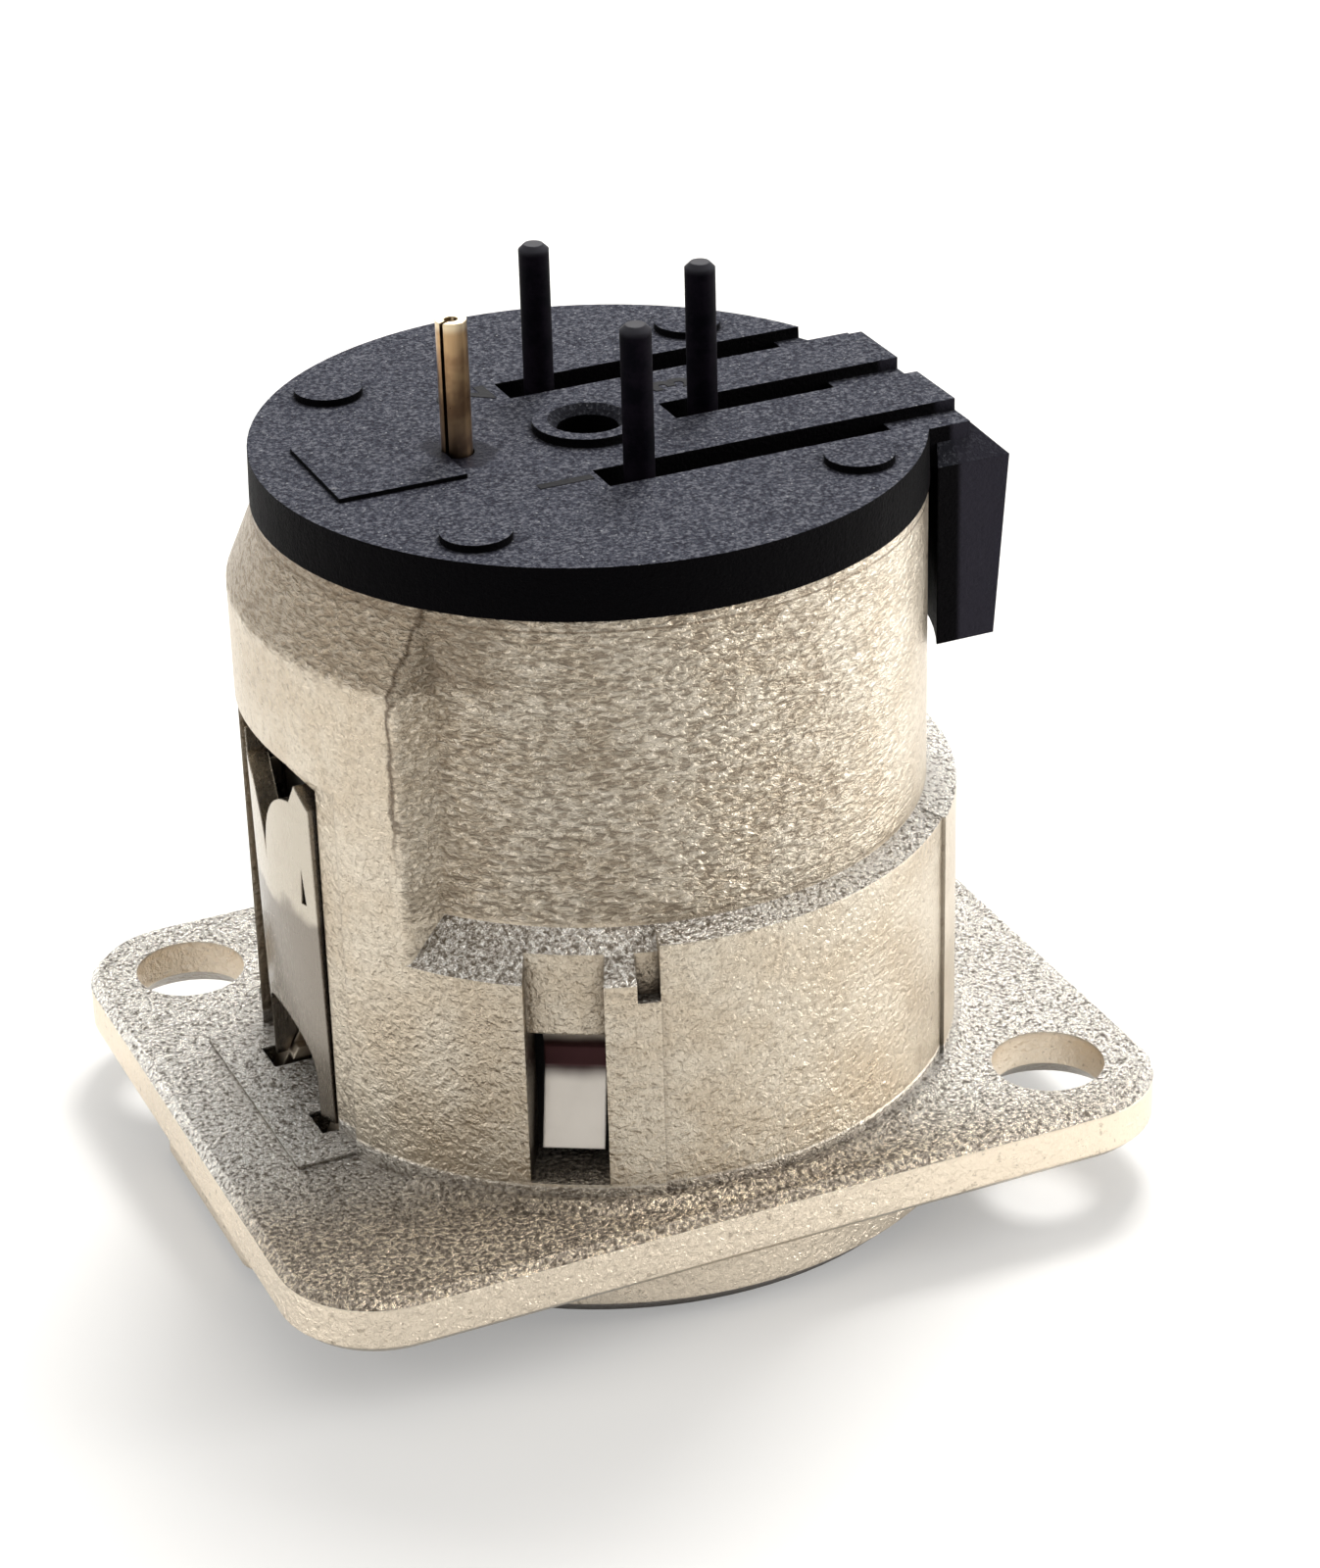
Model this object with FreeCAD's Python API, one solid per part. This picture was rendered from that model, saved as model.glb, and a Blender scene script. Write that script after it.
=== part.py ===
# Panel socket for a round three-pole plug, with a latch and with pins for a circuit board.
# It stands on its front collar: the mating side faces down and the board side faces up.
# The origin is on the mating axis, in the plane of the collar's front. +Z runs to the rear,
# -X is the latch side and +X is the side of the rear cover's block.
# Lengths are in millimetres and angles in degrees. On the latch side, "out" is the distance
# from the axis towards -X, and sections there are written as (out, height) pairs.
import FreeCAD, Part
import math
import os

# Flange and front collar
FLANGE_LENGTH = 31.0
FLANGE_WIDTH = 26.0
FLANGE_CORNER = 3.4
FLANGE_THICKNESS = 2.0
FLANGE_EDGE = 0.3
COLLAR_RADIUS = 12.6
COLLAR_HEIGHT = 2.05
COLLAR_EDGE = 0.7
HOLE_PITCH_X = 24.0
HOLE_PITCH_Y = 19.0
HOLE_DIAMETER = 3.8
COUNTERSINK_DEPTH = 0.75

# Barrel behind the flange, heights counted from the flange's rear face
UPPER_RADIUS = 10.9
LOWER_RADIUS = 11.9
BARREL_HEIGHT = 20.12
RIM_HEIGHT = 0.35
LEDGE_HEIGHT = 9.6
LEDGE_RUN = 1.6
SIDE_LEDGE_RUN = 0.3
SIDE_SET_BACK = 0.12
STEEP_FROM = 104.6
SIDE_FROM = 42.0
FOOT_RING_WIDTH = 0.25
FOOT_RING_HEIGHT = 0.3
FOOT_CONE_WIDTH = 0.35

# Bore for the plug, seat of the contact carrier
BORE_RADIUS = 9.55
BORE_DEPTH = 17.6
BORE_LEAD_IN = 0.3
SEAT_STEP = 0.35

# Latch hump, its shallow recess and its window, heights counted from the flange
HUMP_HALF_WIDTH = 7.0
HUMP_SHOULDER = 17.4
HUMP_EDGE = 0.4
RECESS_HALF_WIDTH = 4.6
RECESS_DEPTH = 0.43
RECESS_TOP = 13.25
WINDOW_HALF_WIDTH = 3.1
WINDOW_TOP = 12.75
WINDOW_RISE = 0.3
INNER_WALL = 0.55

# Side window with the ground spring, angle about the axis from +X
SIDE_WINDOW_ANGLE = -119.4
SIDE_WINDOW_WIDTH = 2.55
SIDE_WINDOW_BOTTOM = 0.75
SIDE_WINDOW_TOP = 6.0
SIDE_CHANNEL_DEPTH = 0.55
LEDGE_TAB_WIDTH = 0.75
LEDGE_TAB_DROP = 1.0

# Push button and its pocket
BUTTON_HALF_WIDTH = 3.35
BUTTON_OUT = 14.2
BUTTON_THICKNESS = 1.2
BUTTON_FRONT = 0.35
BUTTON_TRAVEL = 1.2
BUTTON_GAP = 0.15
BUTTON_CORNER = 0.6
BUTTON_EDGE = 0.3
GUARD_HALF_WIDTH = 4.54
GUARD_OUT = 14.9
GUARD_FRONT = 0.5
REAR_PAD_OUT = 13.0
REAR_PAD_HEIGHT = 0.12
GUARD_CORNER = 0.8

# Latch sheet, heights counted from the flange
LATCH_THICKNESS = 0.7
LATCH_PROFILE_RADIUS = 7.6
LATCH_SINK = 0.05
LATCH_GAP = 0.2
LATCH_LEAN = 1.0
NOTCH_TIP = 9.0
SHOULDER_HEIGHT = 12.0
SHOULDER_HALF_WIDTH = 2.0
HORN_HEIGHT = 12.7
HORN_HALF_WIDTH = 2.35
ARCH_APEX = 3.6
LEG_INNER = 2.2
LEG_TOP = 1.8
LEG_BOTTOM = 0.3
TEAR_HEIGHT = 8.4
TEAR_LENGTH = 1.3
TEAR_WIDTH = 0.26

# Hinge of the latch, its hook and its ramps
HINGE_OUT = 10.35
HINGE_HEIGHT = 10.95
HINGE_PIN_RADIUS = 0.3
HINGE_CLEARANCE = 0.05
HINGE_PIN_LENGTH = 0.45
EAR_HEIGHT = 1.0
HOOK_HALF_WIDTH = 1.2
HOOK_UNDERSIDE = 3.85
HOOK_THICKNESS = 0.7
HOOK_REACH = 0.48
HOOK_ROOM = 0.45
RAMP_SLOPE = 0.55
RAMP_CLEARANCE = 0.08
RAMP_FACE = 0.75
POST_INNER_GAP = 0.1
SLOT_GAP = 0.1
BARB_DEPTH = 0.45
BARB_HEIGHT = 0.4

# Leaf spring behind the latch's horns
LEAF_THICKNESS = 0.2
LEAF_HALF_WIDTH = 1.9
LEAF_LENGTH = 3.8
LEAF_RISE = 0.85
LEAF_BOW = 0.1

# Contact carrier
FIT = 0.05
NOSE_RADIUS = 7.85
NOSE_SET_BACK = 0.45
NOSE_EDGE = 0.4
CARRIER_TOP = 23.2
KEYWAY_WIDTH = 2.6
KEYWAY_DEPTH = 1.0

# Contacts
CONTACT_CIRCLE = 4.05
SOCKET_BORE_RADIUS = 1.22
SOCKET_WALL = 0.3
SOCKET_FRONT = 2.0
SOCKET_DEPTH = 10.5
SOCKET_SLOT_WIDTH = 0.35
SOCKET_SLOT_DEPTH = 7.0
SOCKET_SLOT_ANGLE = 45.0
SHOULDER_RADIUS = 1.85
SHOULDER_BELOW_TOP = 1.3
TAIL_RADIUS = 0.5
TAIL_HEIGHT = 30.8
TAIL_TIP = 0.18

# Ground pin, a rolled tube with a strap to the shell
GROUND_PIN_OUT = 4.5
GROUND_PIN_HEIGHT = 30.4
GROUND_BORE_RADIUS = 0.22
GROUND_SEAM = 0.14
GROUND_SEAM_ANGLE = -150.0
STRAP_THICKNESS = 0.3
STRAP_HALF_WIDTH = 0.8
STRAP_DROP = 2.4

# Ground spring
TONGUE_WIDTH = 2.0
TONGUE_THICKNESS = 0.3
TONGUE_CORNER = 0.5
TONGUE_BULGE = 0.3
TONGUE_FLARE = 0.95
TONGUE_END = 1.25

# Rear cover
COVER_RADIUS = 10.96
COVER_THICKNESS = 1.75
COVER_DRAFT = 0.05
SPIGOT_DEPTH = 0.87
CHANNEL_WIDTH = 1.4
CHANNEL_DEPTH = 1.2
CHANNEL_MOUTH_DEPTH = 0.4
CHANNEL_STEP = 8.9
CHANNEL_START = -1.3
MIDDLE_CHANNEL_START = 2.8
PAD_RADIUS = 1.12
PAD_HEIGHT = 0.25
PAD_CIRCLE = 9.15
RING_RADIUS = 1.8
RING_HOLE_RADIUS = 1.0
RING_HEIGHT = 0.3
RING_DEPTH = 4.5
PLATEAU_HEIGHT = 0.15
PLATEAU_FAR = 9.25
PLATEAU_NEAR = 5.0
PLATEAU_LOW = -2.1
PLATEAU_HIGH = 2.4

# Side block of the rear cover
BLOCK_OUT = 12.63
BLOCK_DRAFT = 0.5
BLOCK_HALF_WIDTH = 5.0
BLOCK_LENGTH = 6.27
BLOCK_ROOF = 1.54
BLOCK_GAP = 0.3
BRIDGE_HALF_WIDTH = 4.4

# Heights that follow from the values above
FLANGE_TOP = COLLAR_HEIGHT + FLANGE_THICKNESS
BARREL_TOP = FLANGE_TOP + BARREL_HEIGHT
COVER_TOP = BARREL_TOP + COVER_THICKNESS
SPIGOT_BOTTOM = BARREL_TOP - SPIGOT_DEPTH
POCKET_RADIUS = BORE_RADIUS + INNER_WALL
COUNTERBORE_RADIUS = BORE_RADIUS + SEAT_STEP
WEB_BOTTOM = BUTTON_FRONT + BUTTON_THICKNESS + BUTTON_TRAVEL + BUTTON_GAP
WEB_TOP = FLANGE_TOP + REAR_PAD_HEIGHT
LATCH_HALF_WIDTH = WINDOW_HALF_WIDTH - LATCH_GAP
LATCH_CENTRE_OUT = LOWER_RADIUS - LATCH_SINK - LATCH_PROFILE_RADIUS
SOCKET_RADIUS = SOCKET_BORE_RADIUS + SOCKET_WALL
SHOULDER_BOTTOM = CARRIER_TOP - SHOULDER_BELOW_TOP
FAR = 40.0
Y_AXIS = FreeCAD.Vector(0, 1, 0)
Z_AXIS = FreeCAD.Vector(0, 0, 1)
ORIGIN = FreeCAD.Vector(0, 0, 0)


# Shared ways of making a solid

def point(x, y, z):
    return FreeCAD.Vector(x, y, z)


def box(x_low, x_high, y_low, y_high, z_low, z_high):
    return Part.makeBox(x_high - x_low, y_high - y_low, z_high - z_low, point(x_low, y_low, z_low))


def rod(radius, z_low, z_high, x=0.0, y=0.0):
    return Part.makeCylinder(radius, z_high - z_low, point(x, y, z_low))


def cone(radius_low, radius_high, z_low, z_high, x=0.0, y=0.0):
    return Part.makeCone(radius_low, radius_high, z_high - z_low, point(x, y, z_low))


def rounded_wire(corners):
    """Closed wire through (point, radius) corners, with a tangent arc at each radius above 0."""
    starts, ends, arcs = [], [], []
    count = len(corners)
    for i, (corner, radius) in enumerate(corners):
        before = (corners[i - 1][0] - corner).normalize()
        after = (corners[(i + 1) % count][0] - corner).normalize()
        half_angle = before.getAngle(after) / 2
        set_back = radius / math.tan(half_angle)
        starts.append(corner + before * set_back)
        ends.append(corner + after * set_back)
        middle = (before + after).normalize()
        arcs.append(corner + middle * (radius / math.sin(half_angle) - radius))
    edges = []
    for i, (corner, radius) in enumerate(corners):
        if radius > 0:
            edges.append(Part.Arc(starts[i], arcs[i], ends[i]).toShape())
        following = starts[(i + 1) % count]
        if ends[i].distanceToPoint(following) > FIT / 100:
            edges.append(Part.makeLine(ends[i], following))
    return Part.Wire(edges)


def quarter_oval(start, corner, end):
    """Quarter of an ellipse from start to end, tangent there to the lines through the corner."""
    handle = 4 / 3 * (math.sqrt(2) - 1)
    curve = Part.BezierCurve()
    curve.setPoles([start, start + (corner - start) * handle, end + (corner - end) * handle, end])
    return curve.toShape()


def turned(profile, start=0.0, sweep=360.0):
    """Solid of revolution about Z from (radius, height) points, from the angle start on."""
    corners = [point(r, 0, z) for r, z in profile]
    face = Part.Face(Part.makePolygon(corners + corners[:1]))
    return face.revolve(ORIGIN, Z_AXIS, sweep).rotate(ORIGIN, Z_AXIS, start)


def side_slab(section, half_width):
    """Slab about the plane y = 0 from (out, height, radius) corners on the latch side."""
    wire = rounded_wire([(point(-out, -half_width, height), radius) for out, height, radius in section])
    return Part.Face(wire).extrude(point(0, 2 * half_width, 0))


def folded_strip(path, thickness, bend):
    """Closed (out, height, radius) section of a sheet folded along a path of middle points."""
    left, right = [], []
    for i, (out, height) in enumerate(path):
        here = point(out, 0, height)
        along = []
        if i > 0:
            along.append((here - point(path[i - 1][0], 0, path[i - 1][1])).normalize())
        if i < len(path) - 1:
            along.append((point(path[i + 1][0], 0, path[i + 1][1]) - here).normalize())
        normals = [point(-direction.z, 0, direction.x) for direction in along]
        mean = normals[0] if len(normals) == 1 else (normals[0] + normals[1]).normalize()
        step = mean * (thickness / 2 / mean.dot(normals[0]))
        turn = 0.0
        if len(along) == 2:
            turn = along[0].x * along[1].z - along[0].z * along[1].x
        inner, outer = (0.0, 0.0) if turn == 0 else (bend, bend + thickness)
        left_radius, right_radius = (inner, outer) if turn > 0 else (outer, inner)
        left.append((here.x + step.x, here.z + step.z, left_radius))
        right.append((here.x - step.x, here.z - step.z, right_radius))
    return left + right[::-1]


def both_sides(solid):
    """The solid with its mirror image across the plane y = 0."""
    return solid.fuse(solid.mirror(ORIGIN, Y_AXIS))


def rounded_plate(length, width, corner, z_low, z_high, x_middle=0.0):
    """Plate with rounded corners, length along X and width along Y."""
    half_x, half_y = length / 2, width / 2
    signs = [(-1, -1), (1, -1), (1, 1), (-1, 1)]
    corners = [(point(x_middle + sx * half_x, sy * half_y, z_low), corner) for sx, sy in signs]
    return Part.Face(rounded_wire(corners)).extrude(point(0, 0, z_high - z_low))


def soften(solid, radius, chosen):
    """Round the edges that the test picks."""
    edges = [edge for edge in solid.Edges if chosen(edge)]
    return solid.makeFillet(radius, edges)


def level_edge(edge, height):
    """True for an edge that lies in the level plane at this height."""
    return all(abs(vertex.Z - height) < FIT / 10 for vertex in edge.Vertexes) and abs(
        edge.BoundBox.ZLength) < FIT / 10


# Shell

def flange():
    plate = rounded_plate(FLANGE_LENGTH, FLANGE_WIDTH, FLANGE_CORNER, COLLAR_HEIGHT, FLANGE_TOP)
    rims = [edge for edge in plate.Edges if level_edge(edge, COLLAR_HEIGHT) or level_edge(edge, FLANGE_TOP)]
    plate = plate.makeChamfer(FLANGE_EDGE, rims)
    edge_arc = COLLAR_RADIUS - COLLAR_EDGE
    collar = turned([(0, 0), (edge_arc, 0), (COLLAR_RADIUS, COLLAR_EDGE), (COLLAR_RADIUS, COLLAR_HEIGHT),
                     (edge_arc, FLANGE_TOP - FLANGE_EDGE), (0, FLANGE_TOP - FLANGE_EDGE)])
    return plate.fuse(collar)


def button_guard():
    """Raised frame round the push button, with its low pad on the flange's rear face."""
    guard = rounded_plate(2 * GUARD_OUT, 2 * GUARD_HALF_WIDTH, GUARD_CORNER, GUARD_FRONT, FLANGE_TOP)
    pad = rounded_plate(2 * REAR_PAD_OUT, 2 * GUARD_HALF_WIDTH, REAR_PAD_HEIGHT, FLANGE_TOP, WEB_TOP)
    latch_half = box(-FAR, 0, -FAR, FAR, 0, FAR)
    return guard.fuse(pad).common(latch_half)


def barrel_sector(radius, run, start, sweep):
    """Lower barrel over one angle range, with its own slope up to the ledge."""
    ledge = FLANGE_TOP + LEDGE_HEIGHT
    profile = [(0, FLANGE_TOP - FLANGE_EDGE), (radius, FLANGE_TOP - FLANGE_EDGE), (radius, ledge - run),
               (UPPER_RADIUS, ledge), (0, ledge)]
    return turned(profile, start, sweep)


def barrel():
    """Stepped barrel: upper drum, lower drum in five sectors, foot ring on the flange."""
    body = rod(UPPER_RADIUS, FLANGE_TOP - FLANGE_EDGE, BARREL_TOP)
    side_radius = LOWER_RADIUS - SIDE_SET_BACK
    body = body.fuse(barrel_sector(LOWER_RADIUS, LEDGE_RUN, STEEP_FROM, 360 - 2 * STEEP_FROM))
    side = barrel_sector(side_radius, SIDE_LEDGE_RUN, SIDE_FROM, STEEP_FROM - SIDE_FROM)
    body = body.fuse(both_sides(side))
    body = body.fuse(barrel_sector(LOWER_RADIUS, SIDE_LEDGE_RUN, -SIDE_FROM, 2 * SIDE_FROM))
    ring = LOWER_RADIUS + FOOT_RING_WIDTH
    foot = turned([(0, FLANGE_TOP - FLANGE_EDGE), (ring + FOOT_CONE_WIDTH, FLANGE_TOP - FLANGE_EDGE),
                   (ring + FOOT_CONE_WIDTH, FLANGE_TOP), (ring, FLANGE_TOP + FOOT_RING_HEIGHT),
                   (LOWER_RADIUS, FLANGE_TOP + FOOT_RING_HEIGHT), (0, FLANGE_TOP + FOOT_RING_HEIGHT)])
    foot = foot.cut(box(-FAR, 0, -HUMP_HALF_WIDTH, HUMP_HALF_WIDTH, 0, FAR))
    return body.fuse(foot)


def latch_hump():
    """Flat-sided swelling of the upper barrel over the latch, sloping back under the rim."""
    shoulder = FLANGE_TOP + HUMP_SHOULDER
    rim = BARREL_TOP - RIM_HEIGHT
    limit = turned([(0, FLANGE_TOP), (LOWER_RADIUS, FLANGE_TOP), (LOWER_RADIUS, shoulder),
                    (UPPER_RADIUS, rim), (0, rim)])
    hump = limit.common(box(-FAR, 0, -HUMP_HALF_WIDTH, HUMP_HALF_WIDTH, 0, FAR))
    return soften(hump, HUMP_EDGE, on_hump_side)


def on_hump_side(edge):
    """True for the outer edges of the hump's two flat sides."""
    at_side = all(abs(abs(vertex.Y) - HUMP_HALF_WIDTH) < FIT / 10 for vertex in edge.Vertexes)
    return at_side and edge.CenterOfMass.x < -UPPER_RADIUS / 2 and edge.BoundBox.ZLength > FIT


def at_side_window(solid):
    """Turn a solid from the -X side to the side window's angle."""
    return solid.rotate(ORIGIN, Z_AXIS, SIDE_WINDOW_ANGLE + 180)


def mounting_holes():
    holes = []
    for sign in (-1, 1):
        x, y = sign * HOLE_PITCH_X / 2, -sign * HOLE_PITCH_Y / 2
        radius = HOLE_DIAMETER / 2
        hole = rod(radius, 0, FAR, x, y)
        wide = radius + COUNTERSINK_DEPTH
        sink = cone(wide, radius, COLLAR_HEIGHT, COLLAR_HEIGHT + COUNTERSINK_DEPTH, x, y)
        relief = rod(wide, 0, COLLAR_HEIGHT, x, y)
        holes.append(hole.fuse(sink).fuse(relief))
    return holes[0].fuse(holes[1])


def mating_bore():
    lead = BORE_RADIUS + BORE_LEAD_IN
    return turned([(0, 0), (lead, 0), (BORE_RADIUS, BORE_LEAD_IN), (BORE_RADIUS, BORE_DEPTH),
                   (COUNTERBORE_RADIUS, BORE_DEPTH), (COUNTERBORE_RADIUS, FAR), (0, FAR)])


def arched_opening(half_width, z_low, z_high, rise):
    """Cutter through the latch side whose top edge is a low arch."""
    corners = [point(-FAR, -half_width, z_low), point(-FAR, half_width, z_low)]
    left, right = point(-FAR, -half_width, z_high), point(-FAR, half_width, z_high)
    top = Part.Arc(right, point(-FAR, 0, z_high + rise), left).toShape()
    sides = Part.makePolygon([left, corners[0], corners[1], right])
    return Part.Face(Part.Wire([top] + sides.Edges)).extrude(point(FAR, 0, 0))


def latch_openings():
    """Shallow recess, window with its pocket, hook opening and hinge holes."""
    set_back = LOWER_RADIUS - RECESS_DEPTH
    recess = arched_opening(RECESS_HALF_WIDTH, WEB_TOP, FLANGE_TOP + RECESS_TOP, WINDOW_RISE)
    recess = recess.cut(rod(set_back, 0, FAR))
    window = arched_opening(WINDOW_HALF_WIDTH, WEB_TOP, FLANGE_TOP + WINDOW_TOP, WINDOW_RISE)
    window = window.cut(rod(POCKET_RADIUS, 0, FAR))
    underside = FLANGE_TOP + HOOK_UNDERSIDE
    half_width = HOOK_HALF_WIDTH + HOOK_ROOM
    hook_hole = box(-POCKET_RADIUS, 0, -half_width, half_width, underside - HOOK_ROOM,
                    underside + HOOK_THICKNESS + HOOK_ROOM)
    radius = HINGE_PIN_RADIUS + HINGE_CLEARANCE
    depth = WINDOW_HALF_WIDTH + HINGE_PIN_LENGTH
    start = point(-HINGE_OUT, -depth, FLANGE_TOP + HINGE_HEIGHT)
    hinge = Part.makeCylinder(radius, 2 * depth, start, Y_AXIS)
    between = box(-FAR, 0, -WINDOW_HALF_WIDTH, WINDOW_HALF_WIDTH, 0, FAR)
    hinge = hinge.cut(rod(POCKET_RADIUS, 0, FAR).common(between))
    return recess.fuse(window).fuse(hook_hole).fuse(hinge)


def button_openings():
    """Pocket of the push button from the front and the two slots of its posts."""
    half_width = BUTTON_HALF_WIDTH + BUTTON_GAP
    inner = post_inner_out() - SLOT_GAP
    pocket = box(-BUTTON_OUT - BUTTON_GAP, -inner, -half_width, half_width, -FIT, WEB_BOTTOM)
    outer = post_outer_out() + SLOT_GAP
    slot = box(-outer, -inner, LEG_INNER - BARB_DEPTH - SLOT_GAP, LATCH_HALF_WIDTH + SLOT_GAP,
               0, WEB_TOP + FIT)
    return pocket.fuse(both_sides(slot))


def side_window():
    """Channel from the ledge, window through the wall and groove of the ground spring."""
    half = SIDE_WINDOW_WIDTH / 2
    low, high = FLANGE_TOP + SIDE_WINDOW_BOTTOM, FLANGE_TOP + SIDE_WINDOW_TOP
    window = box(-FAR, -BORE_RADIUS / 2, -half, half, low, high)
    channel = box(-FAR, -BORE_RADIUS / 2, -half, half, low, FLANGE_TOP + LEDGE_HEIGHT)
    channel = channel.cut(rod(LOWER_RADIUS - SIDE_CHANNEL_DEPTH, 0, FAR))
    groove = box(-tongue_seat_out(), -BORE_RADIUS / 2, -half, half, high - FIT, BORE_DEPTH)
    return at_side_window(window.fuse(channel).fuse(groove))


def ledge_tab():
    """Small notch of the ledge beside the channel, where the steep slope ends."""
    angle = -STEEP_FROM
    half = LEDGE_TAB_WIDTH / 2
    low = FLANGE_TOP + LEDGE_HEIGHT - LEDGE_RUN - LEDGE_TAB_DROP
    notch = box(UPPER_RADIUS, FAR, -LEDGE_TAB_WIDTH, 0, low + half, FLANGE_TOP + LEDGE_HEIGHT)
    return notch.cut(rod(LOWER_RADIUS - SIDE_CHANNEL_DEPTH, 0, FAR)).rotate(ORIGIN, Z_AXIS, angle)


def shell():
    body = flange().fuse(button_guard()).fuse(barrel()).fuse(latch_hump())
    body = body.cut(mating_bore()).cut(mounting_holes())
    body = body.cut(latch_openings()).cut(button_openings())
    body = body.cut(side_window()).cut(ledge_tab())
    return body.removeSplitter()


# Push button

def ramp_out(height):
    """Distance out of the ramp's face at a height, with the button at rest."""
    drop = FLANGE_TOP + LEG_BOTTOM + RAMP_FACE - height
    slant = math.hypot(1, RAMP_SLOPE)
    return foot_inner_out() + RAMP_SLOPE * drop - RAMP_CLEARANCE * slant


def foot_inner_out():
    """Distance out of the inner face of the latch's feet, clear of the sheet's own curve."""
    inner_radius = LATCH_PROFILE_RADIUS - LATCH_THICKNESS
    return LATCH_CENTRE_OUT + math.sqrt(inner_radius ** 2 - LATCH_HALF_WIDTH ** 2)


def post_top():
    return FLANGE_TOP + LEG_BOTTOM + RAMP_FACE - POST_INNER_GAP


def post_inner_out():
    return POCKET_RADIUS + POST_INNER_GAP


def post_outer_out():
    """Distance out where the ramp ends: one travel below the lowest point of the feet."""
    return ramp_out(FLANGE_TOP + LEG_BOTTOM - BUTTON_TRAVEL)


def ramp_posts():
    """Two posts with slanted outer faces and an inward barb above the flange's web."""
    inner, outer, top = post_inner_out(), post_outer_out(), post_top()
    low = BUTTON_FRONT + BUTTON_THICKNESS
    section = [(inner, low - FIT, 0), (inner, top, 0), (ramp_out(top), top, 0),
               (outer, FLANGE_TOP + LEG_BOTTOM - BUTTON_TRAVEL, 0), (outer, low - FIT, 0)]
    whole = side_slab(section, LATCH_HALF_WIDTH)
    post = whole.common(box(-FAR, 0, LEG_INNER, LATCH_HALF_WIDTH, 0, FAR))
    barb_low = WEB_TOP + FIT
    barb = whole.common(box(-FAR, 0, LEG_INNER - BARB_DEPTH, LEG_INNER, barb_low, barb_low + BARB_HEIGHT))
    return both_sides(post.fuse(barb))


def push_button():
    low, high = BUTTON_FRONT, BUTTON_FRONT + BUTTON_THICKNESS
    inner = post_inner_out()
    length = BUTTON_OUT - inner
    middle = -(BUTTON_OUT + inner) / 2
    pad = rounded_plate(length, 2 * BUTTON_HALF_WIDTH, BUTTON_CORNER, low, high, middle)
    pad = pad.makeChamfer(BUTTON_EDGE, [edge for edge in pad.Edges if level_edge(edge, low)])
    return pad.fuse(ramp_posts()).removeSplitter()


# Latch

def latch_outline():
    """Outline of the latch sheet seen from outside: horns, notch, arch and two legs."""
    z = FLANGE_TOP
    far = -FAR

    def at(y, height):
        return point(far, y, z + height)

    shoulder = at(SHOULDER_HALF_WIDTH, SHOULDER_HEIGHT)
    half_notch = quarter_oval(at(0, NOTCH_TIP), at(0, SHOULDER_HEIGHT), shoulder)
    half_arch = quarter_oval(at(0, ARCH_APEX), at(LEG_INNER, ARCH_APEX), at(LEG_INNER, LEG_TOP))
    side = [shoulder, at(HORN_HALF_WIDTH, HORN_HEIGHT),
            at(LATCH_HALF_WIDTH, SHOULDER_HEIGHT), at(LATCH_HALF_WIDTH, LEG_BOTTOM),
            at(LEG_INNER, LEG_BOTTOM), at(LEG_INNER, LEG_TOP)]
    edges = [half_notch, half_arch] + Part.makePolygon(side).Edges
    edges += [edge.mirror(ORIGIN, Y_AXIS) for edge in edges]
    return Part.Wire(Part.sortEdges(edges)[0])


def latch_sheet():
    """Curved sheet cut to its outline, with a tear-shaped slot beside each crease."""
    outer = rod(LATCH_PROFILE_RADIUS, 0, FAR, -LATCH_CENTRE_OUT)
    inner = rod(LATCH_PROFILE_RADIUS - LATCH_THICKNESS, 0, FAR, -LATCH_CENTRE_OUT)
    blank = Part.Face(latch_outline()).extrude(point(FAR - LATCH_CENTRE_OUT, 0, 0))
    sheet = blank.common(outer.cut(inner))
    y = HORN_HALF_WIDTH
    low, high = FLANGE_TOP + TEAR_HEIGHT, FLANGE_TOP + TEAR_HEIGHT + TEAR_LENGTH
    left, right = point(-FAR, y - TEAR_WIDTH / 2, low), point(-FAR, y + TEAR_WIDTH / 2, low)
    tear = Part.Face(Part.makePolygon([left, right, point(-FAR, y, high), left]))
    tear = tear.extrude(point(FAR - LATCH_CENTRE_OUT, 0, 0))
    return sheet.cut(both_sides(tear))


def latch_hook():
    """Tab folded in from the arch, with a slanted nose that rides over the plug's rim."""
    tip = BORE_RADIUS - HOOK_REACH
    low = FLANGE_TOP + HOOK_UNDERSIDE
    high = low + HOOK_THICKNESS
    root = LATCH_CENTRE_OUT + LATCH_PROFILE_RADIUS - LATCH_THICKNESS / 2
    land = HOOK_THICKNESS / 4
    nose = HOOK_THICKNESS - land
    section = [(root, low, 0), (tip + nose, low, 0), (tip, high - land, 0), (tip, high, 0), (root, high, 0)]
    return side_slab(section, HOOK_HALF_WIDTH)


def sheet_side_out():
    """Distance out, just under the outer face, at the sheet's two sides."""
    chord = math.sqrt(LATCH_PROFILE_RADIUS ** 2 - LATCH_HALF_WIDTH ** 2)
    return LATCH_CENTRE_OUT + chord - LATCH_THICKNESS / 4


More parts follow.
